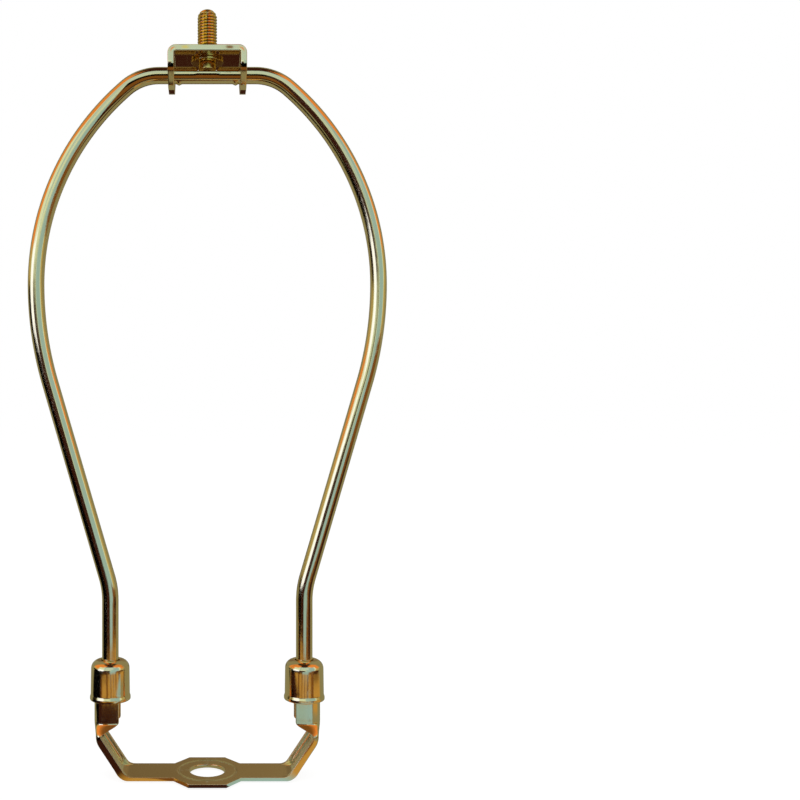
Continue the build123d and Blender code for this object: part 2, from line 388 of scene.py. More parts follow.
    def _ring(self, distance: float) -> list[tuple[float, float]]:
        """Offsets of one ring's points, out from the path and across it.

        Args:
            distance: from the middle of the top.

        Returns:
            For each point, its reach outwards in the harp's plane and its reach along Y.
        """
        point, _ = self._at(distance)
        radius = self.radius
        if distance > self.length - self.foot_chamfer:
            radius -= distance - (self.length - self.foot_chamfer)
        ring = []
        ear_share = 0.0
        if point[1] < self.foot_top:
            middle = self.ear_base + self.ear_height / 2
            full, faded = self.ear_height * self.ear_full, self.ear_height * self.ear_faded
            ear_share = 1 - smooth_step(abs(point[1] - middle), full, faded)
        on_top = distance < self.shoulder_start
        off_pinch = abs(distance - self.pinch_place) / (self.pinch_length / 2)
        pinch_share = math.cos(min(1.0, off_pinch) * math.pi / 2) ** 2 if on_top else 0.0
        for i in range(self.sides):
            angle = 2 * math.pi * i / self.sides
            out, side = math.cos(angle), math.sin(angle)
            reach = radius
            under = abs(angle - math.pi)
            reach += self.pinch_height * pinch_share * (1 - smooth_step(under, 0.0, self.pinch_half_turn))
            x, y = reach * out, reach * side
            if ear_share:
                from_side = abs(under - math.pi / 2)
                y += math.copysign(self.ear_half_width - self.radius, side) * ear_share * (
                    1 - smooth_step(from_side, 0.0, self.ear_half_turn)
                )
            if on_top:
                half = self.press_length / 2
                lift = max(0.0, distance - half) / self.press_slope * (self.radius - self.press_over_axis)
                flat = self.press_over_axis + lift
                over = min(self.press_steepest, (x - flat) / self.press_edge)
                x -= self.press_edge * math.log1p(math.exp(over))
                bulge = self.press_bulge * smooth_step(self.radius - lift, 0.0, self.radius)
                share = (1 - abs(out)) * smooth_step(out, self.bulge_from, self.bulge_to)
                y += math.copysign(bulge, side) * share
            ring.append((x, y))
        return ring

    def build(self) -> bpy.types.Object:
        """Builds the wire from its left foot over the top to its right foot.

        Returns:
            The wire.
        """
        marks = self._stations()
        rows = []
        for signed in [-d for d in reversed(marks[1:])] + marks:
            (x, z), (way_x, way_z) = self._at(abs(signed))
            if signed < 0:
                x, way_z = -x, -way_z
            ring = self._ring(abs(signed))
            rows.append([(x - way_z * out, side, z + way_x * out) for out, side in ring])
        return loft("harp_wire_bent", rows)


def section_loop(
    corners: Sequence[Point], radii: Sequence[float], arcs: int, runs: Sequence[int]
) -> list[Point]:
    """A line with rounded corners and always as many points, so that sections can be lofted.

    Args:
        corners: the corners, the ends included.
        radii: one radius for each inner corner.
        arcs: pieces in each arc.
        runs: pieces in each straight run, one for each pair of corners.

    Returns:
        The points, the first and last corner included.
    """
    spots = [Vector(corner) for corner in corners]
    bows = [
        corner_arc(before, here, after, radius, arcs)
        for before, here, after, radius in zip(spots, spots[1:], spots[2:], radii)
    ]
    ends = [(spots[0], spots[0]), *[(bow[0], bow[-1]) for bow in bows], (spots[-1], spots[-1])]
    points = [ends[0][1]]
    for i, count in enumerate(runs):
        a, b = ends[i][1], ends[i + 1][0]
        points += [a.lerp(b, k / count) for k in range(1, count + 1)]
        if i < len(bows):
            points += bows[i][1:]
    return [(p.x, p.y) for p in points]


def both_sides(half: Sequence[Point]) -> list[Point]:
    """Closes a half section, from the middle of one face to that of the other, by its mirror image."""
    return [*half, *[(u, -v) for u, v in reversed(half[1:-1])]]


def stand(origin: Sequence[float], inward: Vector, section: Sequence[Point]) -> list[Vector]:
    """Stands a section at a point of a line in X and Z, with its first measure along the inward way."""
    return [Vector((origin[0] + inward.x * u, v, origin[1] + inward.y * u)) for u, v in section]


def mirrored(rows: Sequence[Sequence[Vector]]) -> list[list[Vector]]:
    """The same rows on the other side of the middle, in reverse."""
    return [[Vector((-p.x, p.y, p.z)) for p in row] for row in reversed(rows)]


def loft(name: str, rows: Sequence[Sequence[Sequence[float]]]) -> bpy.types.Object:
    """Skins closed sections of equally many points, with a flat cap at each end.

    Args:
        name: the object's name.
        rows: the sections, from one end to the other.

    Returns:
        The closed piece.
    """
    width = len(rows[0])
    faces = []
    for start in range(0, (len(rows) - 1) * width, width):
        for k in range(width):
            m = (k + 1) % width
            faces.append((start + k, start + m, start + width + m, start + width + k))
    last = (len(rows) - 1) * width
    faces += [tuple(range(width)), tuple(range(last, last + width))]
    return make_piece(name, [p for row in rows for p in row], faces)


def keep(piece: bpy.types.Object) -> None:
    """Makes the piece's modifiers part of its mesh.

    Args:
        piece: the piece, whose modifiers are used up.
    """
    shape = bpy.data.meshes.new_from_object(piece.evaluated_get(bpy.context.evaluated_depsgraph_get()))
    piece.modifiers.clear()
    old = piece.data
    piece.data = shape
    bpy.data.meshes.remove(old)
    shape.name = piece.name


def cut(piece: bpy.types.Object, cutter: bpy.types.Object) -> None:
    """Cuts one piece by another, which is used up.

    Args:
        piece: the piece that is cut.
        cutter: what it is cut by.
    """
    tool = piece.modifiers.new("cut", "BOOLEAN")
    tool.operation = "DIFFERENCE"
    tool.solver = "EXACT"
    tool.object = cutter
    keep(piece)
    mesh = cutter.data
    bpy.data.objects.remove(cutter)
    bpy.data.meshes.remove(mesh)


def flatten_shading(piece: bpy.types.Object, sharp: float = math.radians(50), weight: int = 80) -> None:
    """Keeps the flats flat and the small roundings smooth, by normals weighted by area.

    Args:
        piece: the piece.
        sharp: the angle from which an edge stays sharp, in radians.
        weight: how strongly large faces count, 50 being neutral.
    """
    piece.data.shade_smooth()
    piece.data.set_sharp_from_angle(angle=sharp)
    weigh = piece.modifiers.new("weigh", "WEIGHTED_NORMAL")
    weigh.keep_sharp = True
    weigh.weight = weight
    keep(piece)


def flared_hole(name: str, radius: float, faces: Sequence[Point], past: float) -> bpy.types.Object:
    """A round cutter along Z that breaks the edges where it passes through faces.

    Args:
        name: the object's name.
        radius: the hole's radius.
        faces: each face's height and how much its edge is broken, upwards, a pair for each wall.
        past: how far the cutter reaches past the first and the last face.

    Returns:
        The cutter, on the Z axis.
    """
    side = []
    for i, (height, broken) in enumerate(faces):
        way = -1.0 if i % 2 == 0 else 1.0
        bow = [
            (radius + broken * (1 - math.sin(t)), height - way * broken * (1 - math.cos(t)))
            for t in spread(0.0, math.pi / 2, FLARE_STEP)
        ]
        clear = (radius + broken, height + way * past)
        side += [clear, *bow] if way < 0 else [*reversed(bow), clear]
    profile = [(0.0, faces[0][0] - past), *side, (0.0, faces[-1][0] + past)]
    return lathe(name, profile, (0.0, 0.0), HOLE_SIDES)


@dataclass
class SaddleSheet:
    """The saddle: a stamped strip with an eye in its middle, folded up into two arms and C-section posts."""

    sheet: float = 1.25 * MM
    edge: float = 0.2 * MM
    strip_half: float = 6.4 * MM
    corner_x: float = 27.15 * MM
    bottom_bend: float = 4.5 * MM
    arm_lean: float = math.radians(33.5)
    upper_bend: float = 6.0 * MM
    flange_height: float = 2.4 * MM
    flange_start: float = 4.2 * MM
    flange_fold: float = 1.6 * MM
    gusset_blend: float = 3.0 * MM
    post_rise: float = 17.4 * MM
    post_depth: float = 3.0 * MM
    post_rim: float = 4.0 * MM
    post_corner: float = 5.35 * MM
    post_fold: float = 4.2 * MM
    post_radius: float = 5.0 * MM
    post_lean_in: float = 0.9 * MM
    eye_half: float = 5.8 * MM
    eye_taper: float = 4.7 * MM
    hole_radius: float = 5.55 * MM
    hole_chamfer: float = 0.3 * MM
    ring_radius: float = 9.1 * MM
    ring_width: float = 0.7 * MM
    ring_depth: float = 0.14 * MM
    ring_step: float = 0.25
    ring_over: float = 1.5
    ring_sides: int = 128
    soft_share: float = 0.4
    fold_reach: float = 1.4
    arc_step: float = math.radians(4)
    row_step: float = 0.8 * MM
    blend_rows: int = 14
    arc_pieces: int = 6
    run_pieces: tuple[int, ...] = (8, 3, 2, 3, 8)

    def __post_init__(self) -> None:
        """Reads the saddle's reach from the frame and works out its outer line and its flange's edge."""
        _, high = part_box("saddle")
        cup_low, cup_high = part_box("ferrule_right")
        self.foot_spread = (cup_low.x + cup_high.x) / 2
        self.top = high.z
        self.eye_half_width = high.y
        self.arm = Vector((math.sin(self.arm_lean), math.cos(self.arm_lean)))
        self.arm_inward = Vector((-self.arm.y, self.arm.x))
        corner = Vector((self.corner_x, 0.0))
        self.base_back = self.foot_spread + self.post_radius - self.post_lean_in
        upper_corner = corner + self.arm * ((self.base_back - self.corner_x) / self.arm.x)
        self.bend_end = upper_corner.y + self.upper_bend * math.tan(self.arm_lean / 2)
        self.eye_end = self.eye_half + self.eye_taper
        self.outer = rounded(
            [(self.eye_end, 0.0), tuple(corner), tuple(upper_corner), (self.base_back, self.bend_end)],
            [self.bottom_bend, self.upper_bend],
            self.arc_step,
        )
        tip = corner + self.arm * self.flange_start + self.arm_inward * self.flange_height
        foot = tip - self.arm * ((tip.y - self.sheet) / self.arm.y)
        high_end = tip + self.arm * 2 * self.upper_bend
        rim = [(0.0, self.sheet), tuple(foot), tuple(high_end)]
        self.rim_line = rounded(rim, [self.gusset_blend], self.arc_step)

    def _section(self, back: float, corner: float, depth: float, rim: float, fold: float) -> list[Point]:
        """One closed cross section, as inward reach and Y.

        Args:
            back: the web's place along the inward way.
            corner: half width where the web would meet the flanges.
            depth: where the flanges end.
            rim: half width over the rims.
            fold: outer radius of the folds.

        Returns:
            The section's points, always as many.
        """
        rise = max(TINY, depth - back - self.sheet)
        slope = (corner - rim) / (depth - back)
        skin = self.sheet * math.hypot(1.0, slope)
        inner_half = corner - slope * self.sheet - skin
        rim_inner = rim - skin
        soft = min(self.edge, rise * self.soft_share)
        inner_fold = min(max(fold - self.sheet, 0.0), rise * self.soft_share)
        inner_back = back + self.sheet
        corners = [
            (back, 0.0), (back, corner), (depth, rim),
            (depth, rim_inner), (inner_back, inner_half), (inner_back, 0.0),
        ]
        radii = [fold, self.edge, soft, inner_fold]
        return both_sides(section_loop(corners, radii, self.arc_pieces, self.run_pieces))

    def _rim_depth(self, origin: Vector, inward: Vector) -> float:
        """How far inwards from the outer line the flange's edge line lies.

        Args:
            origin: the point on the outer line.
            inward: the way inwards from it.

        Returns:
            The depth, between the sheet's thickness and the flange's height.
        """
        for a, b in zip(self.rim_line, self.rim_line[1:]):
            start, run = Vector(a), Vector(b) - Vector(a)
            turn = inward.x * run.y - inward.y * run.x
            if abs(turn) < PARALLEL:
                continue
            gap = start - origin
            reach = (gap.x * run.y - gap.y * run.x) / turn
            share = (gap.x * inward.y - gap.y * inward.x) / turn
            if 0.0 <= share <= 1.0 and reach > 0:
                return min(self.flange_height, max(self.sheet, reach))
        return self.sheet

    def _half(self) -> list[list[Vector]]:
        """The right half's rows, from the middle of the eye to the post's top.

        Returns:
            The rows, each a closed section of equally many points.
        """
        rows = []
        upwards = Vector((0.0, 1.0))
        wide = self.eye_half_width
        plan = [(0.0, wide), (self.eye_half, wide), (self.eye_end, self.strip_half)]
        for (x0, w0), (x1, w1) in zip(plan, plan[1:]):
            for x in spread(x0, x1, self.row_step)[:-1]:
                width = w0 + (w1 - w0) * (x - x0) / (x1 - x0)
                section = self._section(0.0, width, self.sheet, width, self.edge)
                rows.append(stand(Vector((x, 0.0)), upwards, section))
        bend_from = Vector(self.outer[1])
        bend_reach = self.bottom_bend * (math.pi / 2 - self.arm_lean)
        travelled = -(bend_from - Vector(self.outer[0])).length
        for before, here, after in zip([None, *self.outer], self.outer, [*self.outer[1:], None]):
            spot = Vector(here)
            into = (spot - Vector(before)).normalized() if before else Vector((1.0, 0.0))
            away = (Vector(after) - spot).normalized() if after else upwards
            way = (into + away).normalized() if before and after else away
            steps = spread(0.0, (Vector(after) - spot).length, self.row_step)[:-1] if after else [0.0]
            for step in steps:
                ahead = way if step == 0.0 else away
                inward = Vector((-ahead.y, ahead.x))
                origin = spot + away * step
                done = smooth_step(travelled + step, 0.0, bend_reach * self.fold_reach)
                fold = self.edge + (self.flange_fold - self.edge) * done
                flanged = travelled + step > -self.flange_start
                depth = self._rim_depth(origin, inward) if flanged else self.sheet
                section = self._section(0.0, self.strip_half, depth, self.strip_half, fold)
                rows.append(stand(origin, inward, section))
            if after:
                travelled += (Vector(after) - spot).length
        arm_end = rows[-1]
        post = self._section(
            -self.post_radius, self.post_corner, self.post_depth, self.post_rim, self.post_fold
        )
        post_foot = [Vector((self.foot_spread - u, v, self.post_rise)) for u, v in post]
        for share in spread(0.0, 1.0, 1 / self.blend_rows)[1:]:
            eased = smooth_step(share, 0.0, 1.0)
            rows.append([
                Vector((*a.lerp(b, eased).xy, a.z + (b.z - a.z) * share)) for a, b in zip(arm_end, post_foot)
            ])
        for z in spread(self.post_rise, self.top, self.row_step)[1:]:
            rows.append([Vector((p.x, p.y, z)) for p in post_foot])
        return rows

    def build(self) -> bpy.types.Object:
        """Builds the saddle.

        Returns:
            The saddle.
        """
        right = self._half()
        piece = loft("saddle_folded", mirrored(right[1:]) + right)
        rims = [(0.0, self.edge), (self.sheet, self.hole_chamfer)]
        cut(piece, flared_hole("eye_cutter", self.hole_radius, rims, self.sheet))
        half = self.ring_width / 2
        groove = [
            (self.ring_radius + half * t, self.sheet - self.ring_depth * math.cos(t * math.pi / 2))
            for t in spread(-1.0, 1.0, self.ring_step)
        ]
        over = self.sheet * self.ring_over
        groove += [(self.ring_radius + half, over), (self.ring_radius - half, over)]
        cut(piece, lathe("ring_cutter", groove, (0.0, 0.0), self.ring_sides))
        flatten_shading(piece)
        return piece


@dataclass
class LockFerrule:
    """A drawn cup that slides down the wire over the post: rolled rim, straight side, round shoulder."""

    node: str
    wall: float = 0.75 * MM
    foot_radius: float = 6.2 * MM
    top_radius: float = 6.05 * MM
    shoulder: float = 2.7 * MM
    hole_radius: float = 3.05 * MM
    rim_height: float = 1.0 * MM
    rim_blend: float = 0.8 * MM
    rim_round: float = 0.38 * MM
    lip_round: float = 0.3 * MM
    arc_step: float = math.radians(8)
    run_step: float = 0.9 * MM
    sides: int = 128

    def build(self) -> bpy.types.Object:
        """Builds the cup at its rest place on the wire.

        Returns:
            The cup.
        """
        low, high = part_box(self.node)
        rim_radius = (high.x - low.x) / 2
        base, crown = low.z, high.z
        blend = base + self.rim_height + self.rim_blend
        corners = [
            (rim_radius - self.wall / 2, base),
            (rim_radius, base),
            (rim_radius, base + self.rim_height),
            (self.foot_radius, blend),
            (self.top_radius, crown),
            (self.hole_radius, crown),
            (self.hole_radius, crown - self.wall),
            (self.top_radius - self.wall, crown - self.wall),
            (self.foot_radius - self.wall, blend),
            (rim_radius - self.wall, base),
            (rim_radius - self.wall / 2, base),
        ]
        radii = [
            self.rim_round, self.rim_round, self.rim_blend,
            self.shoulder, self.lip_round, self.lip_round / 2,
            self.shoulder - self.wall, self.rim_blend, self.rim_round / 2,
        ]
        profile = self._fine(rounded(corners, radii, self.arc_step)[:-1])
        centre = ((low.x + high.x) / 2, (low.y + high.y) / 2)
        return lathe(f"{self.node}_drawn", profile, centre, self.sides)

    def _fine(self, profile: list[Point]) -> list[Point]:
        """Adds points on the long straight runs of the half section, so that its quads stay even.

        Args:
            profile: the half section.

        Returns:
            The half section with the added points.
        """
        fine = []
        for a, b in zip(profile, profile[1:] + profile[:1]):
            steps = spread(0.0, 1.0, min(1.0, self.run_step / max(TINY, math.dist(a, b))))
            fine += [(a[0] + (b[0] - a[0]) * t, a[1] + (b[1] - a[1]) * t) for t in steps[:-1]]
        return fine


@dataclass
class TopBracket:
    """The folded strap over the wire: two ears with round holes, and a flat top that holds the stud."""

    sheet: float = STRAP_SHEET
    fold: float = 2.5 * MM
    edge: float = 0.28 * MM
    wire_gap: float = 0.08 * MM
    wire_drop: float = 6.7 * MM
    ear_end_half: float = 3.8 * MM
    ear_round: float = 4.0 * MM
    neck_hole: float = NECK_HOLE
    least_edge: float = 0.02 * MM
    arc_step: float = math.radians(5)
    end_step: float = math.radians(30)
    row_step: float = 0.8 * MM
    arc_pieces: int = 4
    run_pieces: tuple[int, ...] = (8, 2, 8)

    def __post_init__(self) -> None:
        """Reads the strap's size from the frame."""
        low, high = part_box("top_bracket")
        self.half_width, self.half_depth = high.x, high.y
        self.top, self.ear_bottom = high.z, low.z
        self.wire_z = self.top - self.wire_drop

    def _section(self, half_depth: float, inset: float) -> list[Point]:
        """A closed section of the strap, drawn in by the inset at its rounded ends.

        Args:
            half_depth: half the strap's width there.
            inset: how far it is drawn in.

        Returns:
            The section's points, always as many.
        """
        near, far, side = inset, self.sheet - inset, half_depth - inset
        edge = max(self.edge - inset, self.least_edge)
        corners = [(near, 0.0), (near, side), (far, side), (far, 0.0)]
        return both_sides(section_loop(corners, [edge, edge], self.arc_pieces, self.run_pieces))

    def _outline(self) -> list[Point]:
        """The ear's half outline as half depth and height, from its flat end up.

        Returns:
            The outline's points.
        """
        line = rounded(
            [
                (0.0, self.ear_bottom),
                (self.ear_end_half, self.ear_bottom),
                (self.half_depth, self.wire_z),
                (self.half_depth, self.top - self.fold),
            ],
            [self.ear_round, self.ear_round],
            self.arc_step,
        )
        return line[1:]

    def _half(self) -> list[list[Vector]]:
        """The right half's rows, from the ear's end over the fold to the middle of the top.

        Returns:
            The rows, each a closed section of equally many points.
        """
        rows = []
        outline = self._outline()
        end_half = outline[0][0]
        across = Vector((-1.0, 0.0))
        for turn in spread(0.0, math.pi / 2, self.end_step)[:-1]:
            inset = self.edge * (1 - math.sin(turn))
            z = self.ear_bottom + self.edge * (1 - math.cos(turn))
            section = self._section(end_half + z - self.ear_bottom, inset)
            rows.append(stand((self.half_width, z), across, section))
        base = self.ear_bottom + self.edge
        for (w0, z0), (w1, z1) in zip(outline, outline[1:]):
            for share in spread(0.0, 1.0, min(1.0, self.row_step / max(TINY, z1 - z0)))[:-1]:
                z = z0 + (z1 - z0) * share
                if z > base:
                    width = w0 + (w1 - w0) * share
                    rows.append(stand((self.half_width, z), across, self._section(width, 0.0)))
        centre = (self.half_width - self.fold, self.top - self.fold)
        full = self._section(self.half_depth, 0.0)
        for turn in spread(0.0, math.pi / 2, self.arc_step):
            out = Vector((math.cos(turn), math.sin(turn)))
            spot = (centre[0] + self.fold * out.x, centre[1] + self.fold * out.y)
            rows.append(stand(spot, -out, full))
        for x in spread(centre[0], 0.0, 2 * self.row_step)[1:]:
            rows.append(stand((x, self.top), Vector((0.0, -1.0)), full))
        return rows

    def build(self) -> bpy.types.Object:
        """Builds the strap.

        Returns:
            The strap.
        """
        right = self._half()
        piece = loft("top_bracket_folded", right + mirrored(right[:-1]))
        inner = self.half_width - self.sheet
        rims = [(x, self.edge) for x in (-self.half_width, -inner, inner, self.half_width)]
        ear_cutter = flared_hole("ear_cutter", WIRE_DIAMETER / 2 + self.wire_gap, rims, self.sheet)
        for vertex in ear_cutter.data.vertices:
            x, y, z = vertex.co
            vertex.co = (z, y, self.wire_z - x)
        cut(piece, ear_cutter)
        under = self.top - self.sheet
        rims = [(under, self.edge / 2), (self.top, self.edge / 2)]
        cut(piece, flared_hole("neck_cutter", self.neck_hole, rims, self.sheet))
        flatten_shading(piece)
        return piece


@dataclass
class FinialStud:
    """The swivelling stud: a rolled thread with a domed tip over a neck and a swaged tail."""

    pitch: float = 25.4 / 27 * MM
    thread_depth: float = 0.46 * MM
    crest_flat: float = 0.16
    neck_radius: float = 2.3 * MM
    tail_radius: float = 2.825 * MM
    bore_radius: float = 1.3 * MM
    bore_depth: float = 1.6 * MM
    tail_taper: float = 0.2 * MM
    dome: float = 2.7 * MM
    neck_top: float = 0.05 * MM
    swivel_gap: float = 0.05 * MM
    rounding: float = 0.22 * MM
    run_in: float = 0.5
    arc_step: float = math.radians(15)
    sides: int = 72
    rows_in_pitch: int = 12

    def _radius(self, height: float, angle: float, low: float, high: float, full: float) -> float:
        """The thread's radius at a place.

        Args:
            height: Z.
            angle: round the axis, in radians.
            low: where the thread starts.
            high: where the dome starts.
            full: the thread's outer radius.

        Returns:
            The radius there.
        """
        turn = ((height - low) / self.pitch - angle / (2 * math.pi)) % 1.0
        wave = abs(2 * turn - 1)
        flank = min(1.0, max(0.0, (wave - self.crest_flat) / (1 - 2 * self.crest_flat)))
        begun = smooth_step(height, low, low + self.run_in * self.pitch)
        fade = begun * (1 - smooth_step(height, high, high + self.dome))
        return full - self.thread_depth * flank * fade

    def build(self) -> bpy.types.Object:
        """Builds the stud.

        Returns:
            The stud.
        """
        low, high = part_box("finial_stud")
        bracket_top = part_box("top_bracket")[1].z
        full = (high.x - low.x) / 2
        start = bracket_top + self.neck_top
        dome_from = high.z - self.dome
        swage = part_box("swivel_washer")[0].z - self.swivel_gap
        soft = self.rounding
        rows: list[Callable[[float], Point]] = []

        def plain(radius: float, height: float) -> Callable[[float], Point]:
            """A row that is round."""
            return lambda angle: (radius, height)

        floor = low.z + self.bore_depth
        side = rounded(
            [
                (0.0, floor), (self.bore_radius, floor - soft), (self.bore_radius, low.z),
                (self.tail_radius, low.z), (self.tail_radius - self.tail_taper, swage),
                (self.neck_radius, swage), (self.neck_radius, start), (full - soft, start),
            ],
            [soft, soft, soft, soft, 0.0, 0.0],
            self.arc_step,
        )
        rows += [plain(radius, height) for radius, height in side]

        def threaded(height: float) -> Callable[[float], Point]:
            """A row of the thread."""
            return lambda angle: (self._radius(height, angle, start, dome_from, full), height)

        step = self.pitch / self.rows_in_pitch
        rows += [threaded(z) for z in spread(start + step, dome_from, step)]

        def domed(height: float) -> Callable[[float], Point]:
            """A row of the domed tip, where the thread runs out."""
            share = math.sqrt(max(0.0, 1 - ((height - dome_from) / self.dome) ** 2))
            return lambda angle: (self._radius(height, angle, start, dome_from, full) * share, height)

        rows += [domed(z) for z in spread(dome_from, high.z, step)[1:]]
        angles = [2 * math.pi * i / self.sides for i in range(self.sides)]
        rings = []
        for row in rows:
            spots = [(angle, *row(angle)) for angle in angles]
            rings.append([(out * math.cos(angle), out * math.sin(angle), z) for angle, out, z in spots])
        return loft("finial_stud_threaded", rings)


@dataclass
class SwivelWasher:
    """The washer that the stud's tail is swaged over."""

    hole_radius: float = NECK_HOLE
    edge: float = 0.18 * MM
    arc_step: float = math.radians(15)
    sides: int = 96

    def build(self) -> bpy.types.Object:
        """Builds the washer.

        Returns:
            The washer.
        """
        low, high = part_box("swivel_washer")
        outer = high.x
        middle = (self.hole_radius + outer) / 2
        corners = [
            (middle, low.z), (outer, low.z), (outer, high.z),
            (self.hole_radius, high.z), (self.hole_radius, low.z), (middle, low.z),
        ]
        profile = rounded(corners, [self.edge] * 4, self.arc_step)[:-1]
        return lathe("swivel_washer_pressed", profile, (0.0, 0.0), self.sides)


class Nodes:
    """A node tree that is being written: nodes by kind, links by socket."""

    def __init__(self, tree: bpy.types.NodeTree) -> None:
        """Starts on an empty tree."""
        self.tree = tree
        tree.nodes.clear()

    def add(self, kind: str, settings: dict | None = None, **inputs: object) -> bpy.types.Node:
        """Adds a node.

        Args:
            kind: the node's type name.
            settings: its own properties.
            inputs: values or sockets by input name, with _ for a space.

        Returns:
            The node.
        """
        node = self.tree.nodes.new(kind)
        for key, value in (settings or {}).items():
            setattr(node, key, value)
        for key, value in inputs.items():
            self.feed(node.inputs[key.replace("_", " ")], value)
        return node

    def feed(self, socket: bpy.types.NodeSocket, value: object) -> None:
        """Sets a socket to a value, or links it to another socket.

        Args:
            socket: the input that is set.
            value: a value, or the socket that it is linked to.
        """
        if isinstance(value, bpy.types.NodeSocket):
            self.tree.links.new(value, socket)
        else:
            socket.default_value = value

    def blend(self, share: object, first: object, second: object) -> bpy.types.NodeSocket:
        """Mixes two colours.

        Args:
            share: how much of the second, a value or a socket.
            first: a socket or a linear colour.
            second: a socket or a linear colour.

        Returns:
            The mixed colour.
        """
        node = self.tree.nodes.new("ShaderNodeMix")
        node.data_type = "RGBA"
        self.feed(node.inputs[0], share)
        colour_inputs = [socket for socket in node.inputs if socket.type == "RGBA"]
        for socket, value in zip(colour_inputs, (first, second)):
            self.feed(socket, (*value, 1.0) if isinstance(value, tuple) else value)
        return next(socket for socket in node.outputs if socket.type == "RGBA")

    def ramp(self, value: object, start: float, end: object) -> bpy.types.NodeSocket:
        """How far a value is on its way from start to end, from 0 to 1."""
        return self.add("ShaderNodeMapRange", Value=value, From_Min=start, From_Max=end).outputs["Result"]

    def math(self, operation: str, *values: object) -> bpy.types.NodeSocket:
        """A math node's result.

        Args:
            operation: the operation's name.
            values: values or sockets, in order.

        Returns:
            The result.
        """
        node = self.tree.nodes.new("ShaderNodeMath")
        node.operation = operation
        for socket, value in zip(node.inputs, values):
            self.feed(socket, value)
        return node.outputs[0]

    def own_place(self) -> bpy.types.NodeSocket:
        """The place on the piece, in the piece's own frame."""
        return self.add("ShaderNodeTexCoord").outputs["Object"]

    def noise(self, place: object, scale: object, detail: float, rough: float = 0.5) -> bpy.types.NodeSocket:
        """A noise texture's value at a place."""
        node = self.add("ShaderNodeTexNoise", Vector=place, Scale=scale, Detail=detail, Roughness=rough)
        return node.outputs["Fac"]

    def either(self, share: object, first: object, second: object) -> bpy.types.NodeSocket:
        """Mixes two shaders, by how much of the second there is.

        Args:
            share: how much of the second, a value or a socket.
            first: a shader's socket.
            second: a shader's socket.

        Returns:
            The mixed shader.
        """
        node = self.add("ShaderNodeMixShader", Fac=share)
        self.feed(node.inputs[1], first)
        self.feed(node.inputs[2], second)
        return node.outputs["Shader"]

    def seen(self) -> bpy.types.NodeSocket:
        """Tells rays that look on from rays that light.

        Returns:
            1 for the camera, a mirror or glass, otherwise 0.
        """
        path = self.add("ShaderNodeLightPath")
        seen = self.math("MAXIMUM", path.outputs["Is Camera Ray"], path.outputs["Is Glossy Ray"])
        return self.math("MAXIMUM", seen, path.outputs["Is Transmission Ray"])


def new_material(name: str) -> tuple[bpy.types.Material, Nodes, bpy.types.NodeSocket]:
    """Starts a material.

    Args:
        name: the material's name.

    Returns:
        The material, its tree being written, and the socket that its shader goes into.
    """
    made = bpy.data.materials.new(name)
    made.use_nodes = True
    nodes = Nodes(made.node_tree)
    return made, nodes, nodes.add("ShaderNodeOutputMaterial").inputs["Surface"]


def shader_group(
    name: str, inputs: dict[str, float], outputs: Sequence[str]
) -> tuple[Nodes, bpy.types.Node, bpy.types.Node]:
    """Starts a shader node group with named number sockets.

    Args:
        name: the group's name.
        inputs: its inputs and their defaults.
        outputs: its outputs.

    Returns:
        The tree being written, its input node and its output node.
    """
    tree = bpy.data.node_groups.new(name, "ShaderNodeTree")
    number = "NodeSocketFloat"
    for key, value in inputs.items():
        tree.interface.new_socket(key, in_out="INPUT", socket_type=number).default_value = value
    for key in outputs:
        tree.interface.new_socket(key, in_out="OUTPUT", socket_type=number)
    nodes = Nodes(tree)
    return nodes, nodes.add("NodeGroupInput"), nodes.add("NodeGroupOutput")


def plating_drift_group() -> bpy.types.NodeTree:
    """Slow changes of the plate's tone and surface, as bright plating has over a bent part.

    Returns:
        The group, which gives Tone and Height.
    """
    nodes, given, out = shader_group("plating_drift", {"Scale": 60.0, "Waviness": 1.0}, ("Tone", "Height"))
    finer = 4.0
    place = nodes.own_place()
    tone = nodes.noise(place, given.outputs["Scale"], detail=3.0)
    wave_scale = nodes.math("MULTIPLY", given.outputs["Scale"], finer)
    wave = nodes.noise(place, wave_scale, detail=1.5, rough=0.4)
    nodes.feed(out.inputs["Tone"], tone)
    nodes.feed(out.inputs["Height"], nodes.math("MULTIPLY", wave, given.outputs["Waviness"]))
    return nodes.tree


def fine_scratches_group() -> bpy.types.NodeTree:
    """Hairline handling marks in two crossing directions.

    Returns:
        The group, which gives Mask and Height.
    """
    nodes, given, out = shader_group("fine_scratches", {"Scale": 900.0, "Amount": 0.5}, ("Mask", "Height"))
    lean, roll, narrow = 0.6, 0.3, 0.35
    faint, deep = 0.62, 0.72
    place = nodes.own_place()
    masks = []
    for turn, stretch in ((0.5, 0.03), (-0.9, 0.05)):
        spun = nodes.add(
            "ShaderNodeMapping", Vector=place, Rotation=(turn, turn * lean, turn * roll),
            Scale=(1.0, stretch, narrow),
        )
        noise = nodes.noise(spun.outputs[0], given.outputs["Scale"], detail=2.0)
        masks.append(nodes.ramp(noise, faint, deep))
    both = nodes.math("MAXIMUM", masks[0], masks[1])
    mask = nodes.math("MULTIPLY", both, given.outputs["Amount"])
    nodes.feed(out.inputs["Mask"], mask)
    nodes.feed(out.inputs["Height"], nodes.math("MULTIPLY", mask, -1.0))
    return nodes.tree


